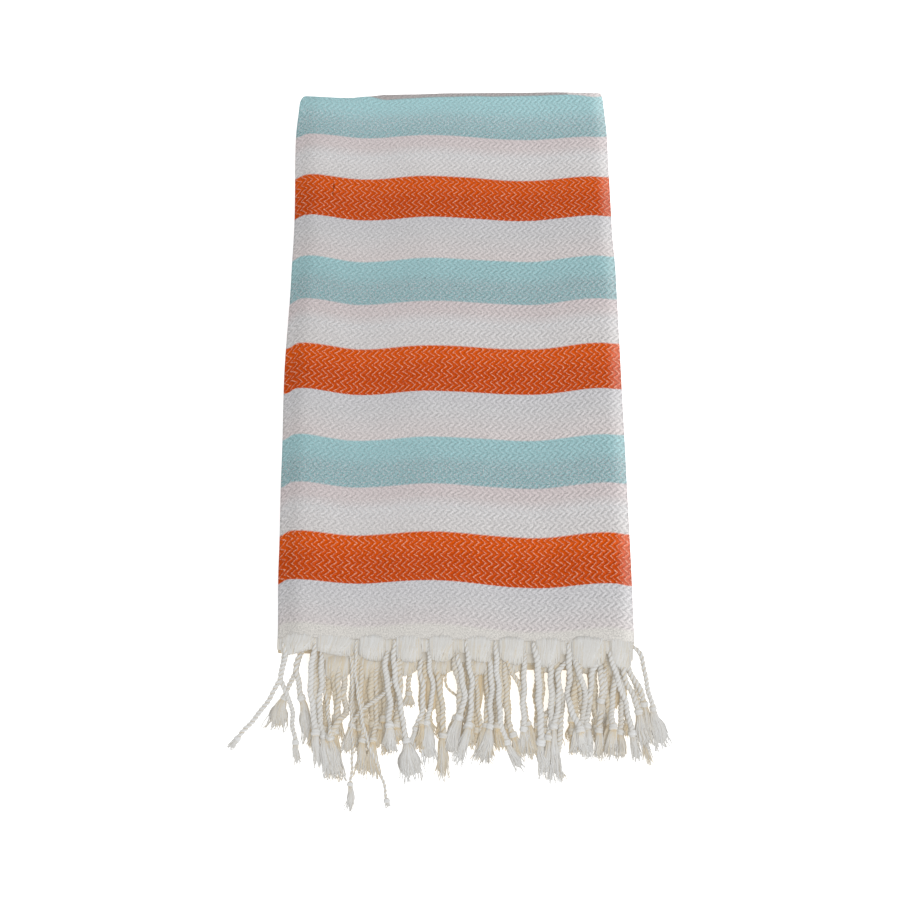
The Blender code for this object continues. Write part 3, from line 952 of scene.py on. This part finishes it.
def pillow_level(number, x, place):
    """Distance down and height of a row's threads, with place 0 at the hem and 1 at the lip.

    The height is the layer's own, which sinks as it hangs, plus the pillow's, rounded off.
    """
    drop, height = pillow_shape(number, x)
    distance = place * drop
    arched = ease((height - FLAT_HEIGHT) / 1.2)
    bulge = height * dome(place, ROUNDNESS) * ease(place / 0.65)
    base = mix(-0.6, 0.56, arched) - 0.3 * (1 - ease(place / 0.08))
    ridge = ridge_height(x / MILLIMETRES, np.full_like(x, -HALF_LENGTH)) * (number == 1)
    layer = ROWS[number][0] + MILLIMETRES * ridge
    return distance, layer * (1 - hanging_share(distance)) + base + bulge


def pillow_row(number):
    """The closed surface under a row's loose threads: rings from hem to lip and back under."""
    out = ROWS[number][1]
    over = np.sin(0.5 * np.pi * np.linspace(0, 1, LIP_RING))
    under = np.sin(0.5 * np.pi * np.linspace(1, 0, UNDER_RING + 1))[1:]
    place = np.concatenate([over, under])[None, :]
    is_over = np.arange(LIP_RING + UNDER_RING)[None, :] < LIP_RING
    columns = PILLOW_COLUMNS if number in PILLOWS else PLAIN_COLUMNS
    x = np.linspace(-124, 124.3, columns)[:, None] + 0 * place
    distance, level = pillow_level(number, x, place + 0 * x)
    thin = 0.8 * dome(place, ROUNDNESS) + 0.2
    level = np.where(is_over, level, level - thin - 0.9 * ease((1 - place) / 0.3))
    start = hem_line(x, out) + 0.6 * is_over * (1 - place) + 0.2
    points = np.stack([x, start - distance, level], axis=-1)
    # The underside is darker: painted shade under the lip.
    tone = 0.55 - 0.2 * (~is_over) + 0 * x
    return points[None, :, ::-1], tone[None, :, ::-1]


def pillow_threads(number):
    """Threads from above the hem to the lip, each swinging left by a share of its place."""
    starts = []
    for left, right, _, _, _ in PILLOWS[number]:
        across = np.linspace(-0.97, 1.12, int(THREADS_PER_MM * (right - left)))
        x = mix(left, right, 0.5 + 0.5 * across)
        starts.append(np.stack([x, np.full_like(x, left), across]))
    between = np.arange(PILLOWS[number][0][0], PILLOWS[number][-1][1], 0.8)
    starts.append(np.stack([between, between, np.ones_like(between)]))
    start, left, across = np.concatenate(starts, axis=1)[:, :, None]
    each = (len(start), 1)
    above_hem = mix(1.6, 3.4, 1 - across**2) + vary(-0.7, 0.7, each)
    place = np.sin(0.5 * np.pi * np.linspace(0, 1, THREAD_STATIONS))[None, :]
    place = place * vary(0.93, 1.03, each)
    swing = vary(0.22, 0.46, each) * ease(place)
    crossing = vary(-1.5, 1.5, each) * place * np.clip(1.3 - np.abs(across), 0.4, 1)
    x = left + (start - left) * (1 - swing) + crossing
    distance, level = pillow_level(number, x, np.clip(place, 0, 1))
    distance = distance * place / np.clip(place, 1e-6, 1)
    radius = vary(0.5, 0.8, each) * np.sqrt(np.clip(1.12 - place**4, 0.3, 1))
    level = level + 0.18 - 0.6 * ease((0.1 - place) / 0.1)
    y = hem_line(x, ROWS[number][1]) - distance + above_hem * (1 - ease(place / 0.4))
    centres = np.stack([x, y, np.maximum(level, radius)], axis=-1)
    # Threads between the pillows are darker: painted shade in the valleys.
    tone = vary(0.56, 0.86, (*each, 1)) - 0.12 * (across >= 1)[:, :, None]
    return tubes(centres, radius, 6, heights=0.6 * radius), tone


print("pillows:", sum(len(pillows) for pillows in PILLOWS.values()))

# %% [markdown]
# ## Laying the cords down
# Real cords lie on one another. A height map starts empty, and the rows go on from the
# lowest up: each cord rests on what the map holds under it, bends over it softly, and is
# added to the map. A simulation could drop them, but not where the photograph has them.

# %% The height map
# Its cells are a millimetre wide: rows go down from the upper hem, columns across.
MAP_LEFT = -180
HEIGHT_MAP = np.zeros((140, 360))
STATIONS = 48


def map_index(down, x):
    """Row and column of the height map for a place."""
    place = np.stack(np.broadcast_arrays(down, x - MAP_LEFT), axis=-1).astype(int)
    return tuple(np.moveaxis(np.clip(place, 0, np.array(HEIGHT_MAP.shape) - 1), -1, 0))


def map_band(down, x, reach):
    """Sideways offsets within the reach, and the map's cells there for each station."""
    offsets = np.arange(-reach, reach + 0.5)[None, :]
    return offsets, map_index(down[:, None], x[:, None] + offsets)


def soften(values, times):
    """Each value becomes half of itself and a quarter of its neighbours' sum, several times."""
    for _ in range(times):
        inner = 0.25 * values[:-2] + 0.5 * values[1:-1] + 0.25 * values[2:]
        values = np.concatenate([values[:1], inner, values[-1:]])
    return values


def lay_down(down, x, start_height, out, radius):
    """Height: the hanging curve, or what lies under where that is higher. Then it is added."""
    _, cells = map_band(down, x, 0.6 * radius)
    resting = HEIGHT_MAP[cells].max(axis=1) + 0.8 * radius
    spread = np.maximum(resting, np.maximum(np.roll(resting, 1), np.roll(resting, -1)))
    spread[0], spread[-1] = resting[0], resting[-1]
    hanging = start_height * (1 - hanging_share(down - out))
    height = np.maximum(soften(np.maximum(spread, hanging), 6), radius)
    offsets, cells = map_band(down, x, radius)
    top = height[:, None] + 0.8 * np.sqrt(np.maximum(radius**2 - offsets**2, 0))
    np.maximum.at(HEIGHT_MAP, cells, top)
    return height


def lay_cord(number, cord):
    """A cord's route by even stations, its width, its knot's share of the way, its brush."""
    layer_height, out, _ = ROWS[number]
    width, knot, brush = cord[:3]
    down, x = np.array(cord[3:], dtype=float).reshape(-1, 2).T
    gone = gone_after(np.hypot(np.diff(down), np.diff(x)))
    even = np.linspace(0, gone[-1], STATIONS)
    down = soften(np.interp(even, gone, down), 8)
    x = soften(np.interp(even, gone, x), 8) + 0.4 * np.sin(even / 2.8 + vary(0, 6))
    height = lay_down(down, x, layer_height + 0.8, out, width / 2)
    share = np.interp(knot, down, even / gone[-1])
    return np.stack([x, hem_line(x, down), height], axis=-1), width, share, brush


def lay_pillows(number):
    """Add a row's pillows to the height map, so that cords rest on them."""
    layer_height, out, _ = ROWS[number]
    x = np.arange(-124, 124.5, 0.5)
    drop, height = pillow_shape(number, x)
    for share in np.linspace(0, 0.95, 24):
        distance = share * drop
        top = layer_height * (1 - hanging_share(distance)) + height * dome(share, ROUNDNESS)
        np.maximum.at(HEIGHT_MAP, map_index(distance + out, x), top)


LAID = {}
for number in sorted(ROWS, reverse=True):
    if number in PILLOWS:
        lay_pillows(number)
    LAID[number] = [lay_cord(number, cord) for cord in CORDS[number]]
print("highest cord past the hem:", round(HEIGHT_MAP[30:].max(), 1), "mm")

# %% [markdown]
# ## Twisted cords
# A fringe cord is two plies of loose warp, laid round each other. So each ply is a tube
# whose centre circles the cord's own line, half a turn from its partner. The grooves
# between them carry the tan tone, which is painted shade.

# %% Plies
PLY_STATIONS = 82
TWIST_LENGTH = 6.6
FULLNESS = 1.14
PLY_OFFSET = 0.22
PLY_RADIUS = 0.33


def along_route(route, shares):
    """Points at the given shares of a route, between its stations."""
    place = np.clip(shares, 0, 1) * (STATIONS - 1)
    return np.stack([np.interp(place, np.arange(STATIONS), axis) for axis in route.T], axis=-1)


def cord_plies(route, width, share):
    """Both plies: the cord's line plus an offset times cosine and sine of the twist angle.

    The cord is full a centimetre on from the hem. The tone rises away from the cord's line,
    so the grooves between the plies carry painted shade.
    """
    centres = along_route(route, np.linspace(0, share, PLY_STATIONS))
    gone = gone_after(np.linalg.norm(np.diff(centres, axis=0), axis=1))
    side, up = square_to(unit(np.gradient(centres, axis=0)))
    full = FULLNESS * width * mix(0.6, 1, ease(gone / 10))[:, None]
    turn = vary(0, 2 * np.pi) - 2 * np.pi * gone / (TWIST_LENGTH * vary(0.86, 1.14))
    turn = turn + 0.7 * np.sin(gone / 7 + vary(0, 6))
    angle = np.stack([turn, turn + np.pi])[..., None]
    plies = centres + PLY_OFFSET * full * (np.cos(angle) * side + np.sin(angle) * up)
    rings = tubes(plies, np.broadcast_to(PLY_RADIUS * full[:, 0], (2, PLY_STATIONS)), 7)
    out = np.linalg.norm(rings - centres[:, None, :], axis=-1)
    # Painted shade: the tone is low in the groove between the plies.
    groove = ease((out / ((PLY_OFFSET + PLY_RADIUS) * full) - 0.38) / 0.62)
    return rings, 0.06 + 0.76 * groove


print("turns of twist in a 60 mm cord:", round(60 / TWIST_LENGTH, 1))

# %% [markdown]
# ## Knots and brushes
# An overhand knot stops each cord, and below it the loose warp opens into a brush. The
# knot is drawn as the wraps that show: a short tight helix. The brush is a body of packed
# threads, with single threads on it that fan out and end unevenly. A knot really tied
# would show no more from outside.

# %% Knots and brushes
KNOT_TURNS = 2.6
KNOT_STATIONS = 24
BRUSH_STATIONS = 7


def knot_of(route, width, share):
    """Wraps round the cord: a helix, fattest in the middle, tan with painted shade near its axis.
    """
    centre, before = along_route(route, np.array([share, share - 0.05]))
    direction = unit(centre - before)
    side, up = square_to(direction)
    t = np.linspace(-0.5, 0.5, KNOT_STATIONS)[:, None]
    angle = 2 * np.pi * KNOT_TURNS * t + vary(0, 6)
    thickness = 0.47 * max(width, 2.9)
    wrap = thickness * (1 - 1.5 * t**2)
    helix = centre + 1.25 * width * t * direction
    helix = helix + wrap * (np.cos(angle) * side + np.sin(angle) * up)
    helix[:, 2] = np.maximum(helix[:, 2], thickness)
    rings = tubes(helix[None], wrap[None, :, 0], 7, reference=direction)
    away = rings - centre
    away = away - (away @ direction)[..., None] * direction
    out = np.linalg.norm(away, axis=-1) / (1.9 * thickness)
    # Painted shade: the wraps are tan where they lie near the knot's axis.
    return rings, vary(0.22, 0.36) + 0.6 * ease((out - 0.48) / 0.46)


def brush_body(route, width, share, brush):
    """A flattened tube that opens from the knot to the brush's width and rounds off."""
    t = np.linspace(0, 1, 11)
    centres = along_route(route, share + (1 - share) * 0.9 * t)
    closing = np.sqrt(np.clip(1.02 - t**7, 0.02, 1))
    opening = mix(0.45 * width, 0.84 * brush, ease(t / 0.6)) * closing
    thick = mix(0.42 * width, 1.1 + 0.1 * brush, ease(t / 0.5)) * closing
    low = np.minimum(centres[:, 2], 3)
    centres[:, 2] = np.maximum(mix(centres[:, 2], low, ease(t)), thick)
    rings = tubes(centres[None], opening[None], 22, heights=thick[None], lobes=0.1, lobe_count=11)
    return rings, 0.38 + 0.3 * ease(t / 0.45)[None, :, None]


def brush_threads(route, width, share, brush):
    """Threads that fan out from the knot over the body, each with its own length and curl.

    Those longer than the route go straight on. They lie highest in the middle of the fan.
    """
    count = int(14 + 4.5 * brush)
    each = (count, 1)
    t = np.linspace(0, 1, BRUSH_STATIONS)
    way = vary(0.72, 1.12, each) * t
    inside = np.minimum(way, 1)
    centres = along_route(route, share + (1 - share) * inside)
    tip_step = (route[-1] - route[-2]) * (STATIONS - 1) * (1 - share)
    centres = centres + (way - inside)[..., None] * tip_step
    side, _ = square_to(unit(route[-1] - along_route(route, share)))
    fan = np.linspace(-1, 1, count)[:, None] + vary(-0.28, 0.28, each)
    curl = 1.3 * np.sin(5 * way + vary(0, 6, each)) * way
    centres = centres + (fan * mix(0.4 * width, brush, way**0.9) + curl)[..., None] * side
    lift = np.sqrt(np.clip(1 - 0.8 * fan**2, 0, 1))
    lift = lift * mix(0.42 * width, 1.2 + 0.1 * brush, ease(way / 0.5))
    lift = lift * vary(0.75, 1.15, each) * (1 - 0.55 * ease((way - 0.6) / 0.45))
    low = np.minimum(centres[..., 2], 3)
    centres[..., 2] = np.maximum(mix(centres[..., 2], low, ease(way)) + lift, 0.5)
    radius = 0.52 * (1 - 0.5 * t[None, :]) * vary(0.8, 1.2, each)
    tone = vary(0.56, 0.94, (*each, 1)) - 0.24 * (1 - ease(way / 0.4))[..., None]
    return tubes(centres, radius, 4), tone


print("turns of a knot's wraps:", KNOT_TURNS)

# %% [markdown]
# ## The fringe's pieces
# Each row becomes one mesh, because its cords, knots, brushes and pillows are one yarn and
# one node of the imported model. Deeper rows are painted darker, as painted shade where less
# light reaches them.

# %% Fringe pieces
for number, (_, _, painted_row_shade) in ROWS.items():
    yarns = []
    for route, width, share, brush in LAID[number]:
        yarns += [cord_plies(route, width, share), knot_of(route, width, share)]
        yarns.append(brush_body(route, width, share, brush))
        yarns.append(brush_threads(route, width, share, brush))
    yarns.append(pillow_row(number))
    if number in PILLOWS:
        yarns.append(pillow_threads(number))
    # The row's painted shade darkens the tone of all its yarns.
    yarns = [(rings, tone + painted_row_shade) for rings, tone in yarns]
    piece = join_yarns(f"fringe_cords_{number}", yarns)
    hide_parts(f"fringe_row_{number}")

# %% [markdown]

# %% [markdown]
# ## Surface and light
# The towel lies on a pale glowing table, as in a studio that wants a white ground. A bright
# surround, a large soft lamp from the front right and a weaker one from behind give the
# gentle shading and part of the light on the fold; the rest of it is painted light in the cloth.

# %% Surface and light
WHITE = (1, 1, 1, 1)
TABLE_LEVEL = -0.0002
TABLE_CORNERS = [(x, y, TABLE_LEVEL) for x, y in ((-4, -4), (4, -4), (4, 4), (-4, 4))]

surface_mesh = bpy.data.meshes.new("surface")
surface_mesh.from_pydata(TABLE_CORNERS, [], [(0, 1, 2, 3)])
surface = bpy.data.objects.new("surface", surface_mesh)
SCENE.collection.objects.link(surface)
surface_paint, _, paint = new_finish("pale_surface")
put(paint["Base Color"], (0.93, 0.93, 0.93, 1))
put(paint["Roughness"], 0.9)
put(paint["Emission Color"], WHITE)
put(paint["Emission Strength"], 0.62)
surface_mesh.materials.append(surface_paint)

world = bpy.data.worlds.new("even_surround")
world.use_nodes = True
surround = world.node_tree.nodes["Background"].inputs
put(surround["Color"], WHITE)
put(surround["Strength"], 0.55)
SCENE.world = world


def soft_lamp(name, place, target, size, power):
    """A square area lamp that faces its target."""
    lamp = bpy.data.lights.new(name, "AREA")
    lamp.size = size
    lamp.energy = power
    holder = bpy.data.objects.new(name, lamp)
    holder.location = place
    x, y, z = np.array(target) - place
    holder.rotation_euler = (np.arctan2(np.hypot(x, y), -z), 0, np.arctan2(y, x) - np.pi / 2)
    SCENE.collection.objects.link(holder)


soft_lamp("front_right_lamp", (1, -1.5, 2.6), (0, -0.05, 0), 1.6, 50)
soft_lamp("back_lamp", (0.3, 2.2, 1.6), (0, 0, 0), 1.6, 10)
SCENE.view_settings.view_transform = "Standard"

# %% [markdown]
# ## The camera
# The photograph looks down on the towel from the fringe's side, 22 degrees off the upright,
# from a little over a metre away. The lens follows from that distance.

# %% The camera
CAMERA_TILT = np.radians(22)
CAMERA_DISTANCE = 1.0948
CAMERA_TARGET = np.array([-0.0026, -0.0831, 0.02])
lens = bpy.data.cameras.new("camera")
lens.lens = 59.3
lens.sensor_width = 36
lens.clip_start = 0.05
camera = bpy.data.objects.new("camera", lens)
back_along = np.array([0, -np.sin(CAMERA_TILT), np.cos(CAMERA_TILT)])
camera.location = CAMERA_TARGET + CAMERA_DISTANCE * back_along
camera.rotation_euler = (CAMERA_TILT, 0, 0)
SCENE.collection.objects.link(camera)
SCENE.camera = camera
print("camera at", np.round(camera.location, 3).tolist())

# %% [markdown]
# ## Finishing
# The view layer is updated, so that every piece stands where it was put.

# %% Finish
bpy.context.view_layer.update()
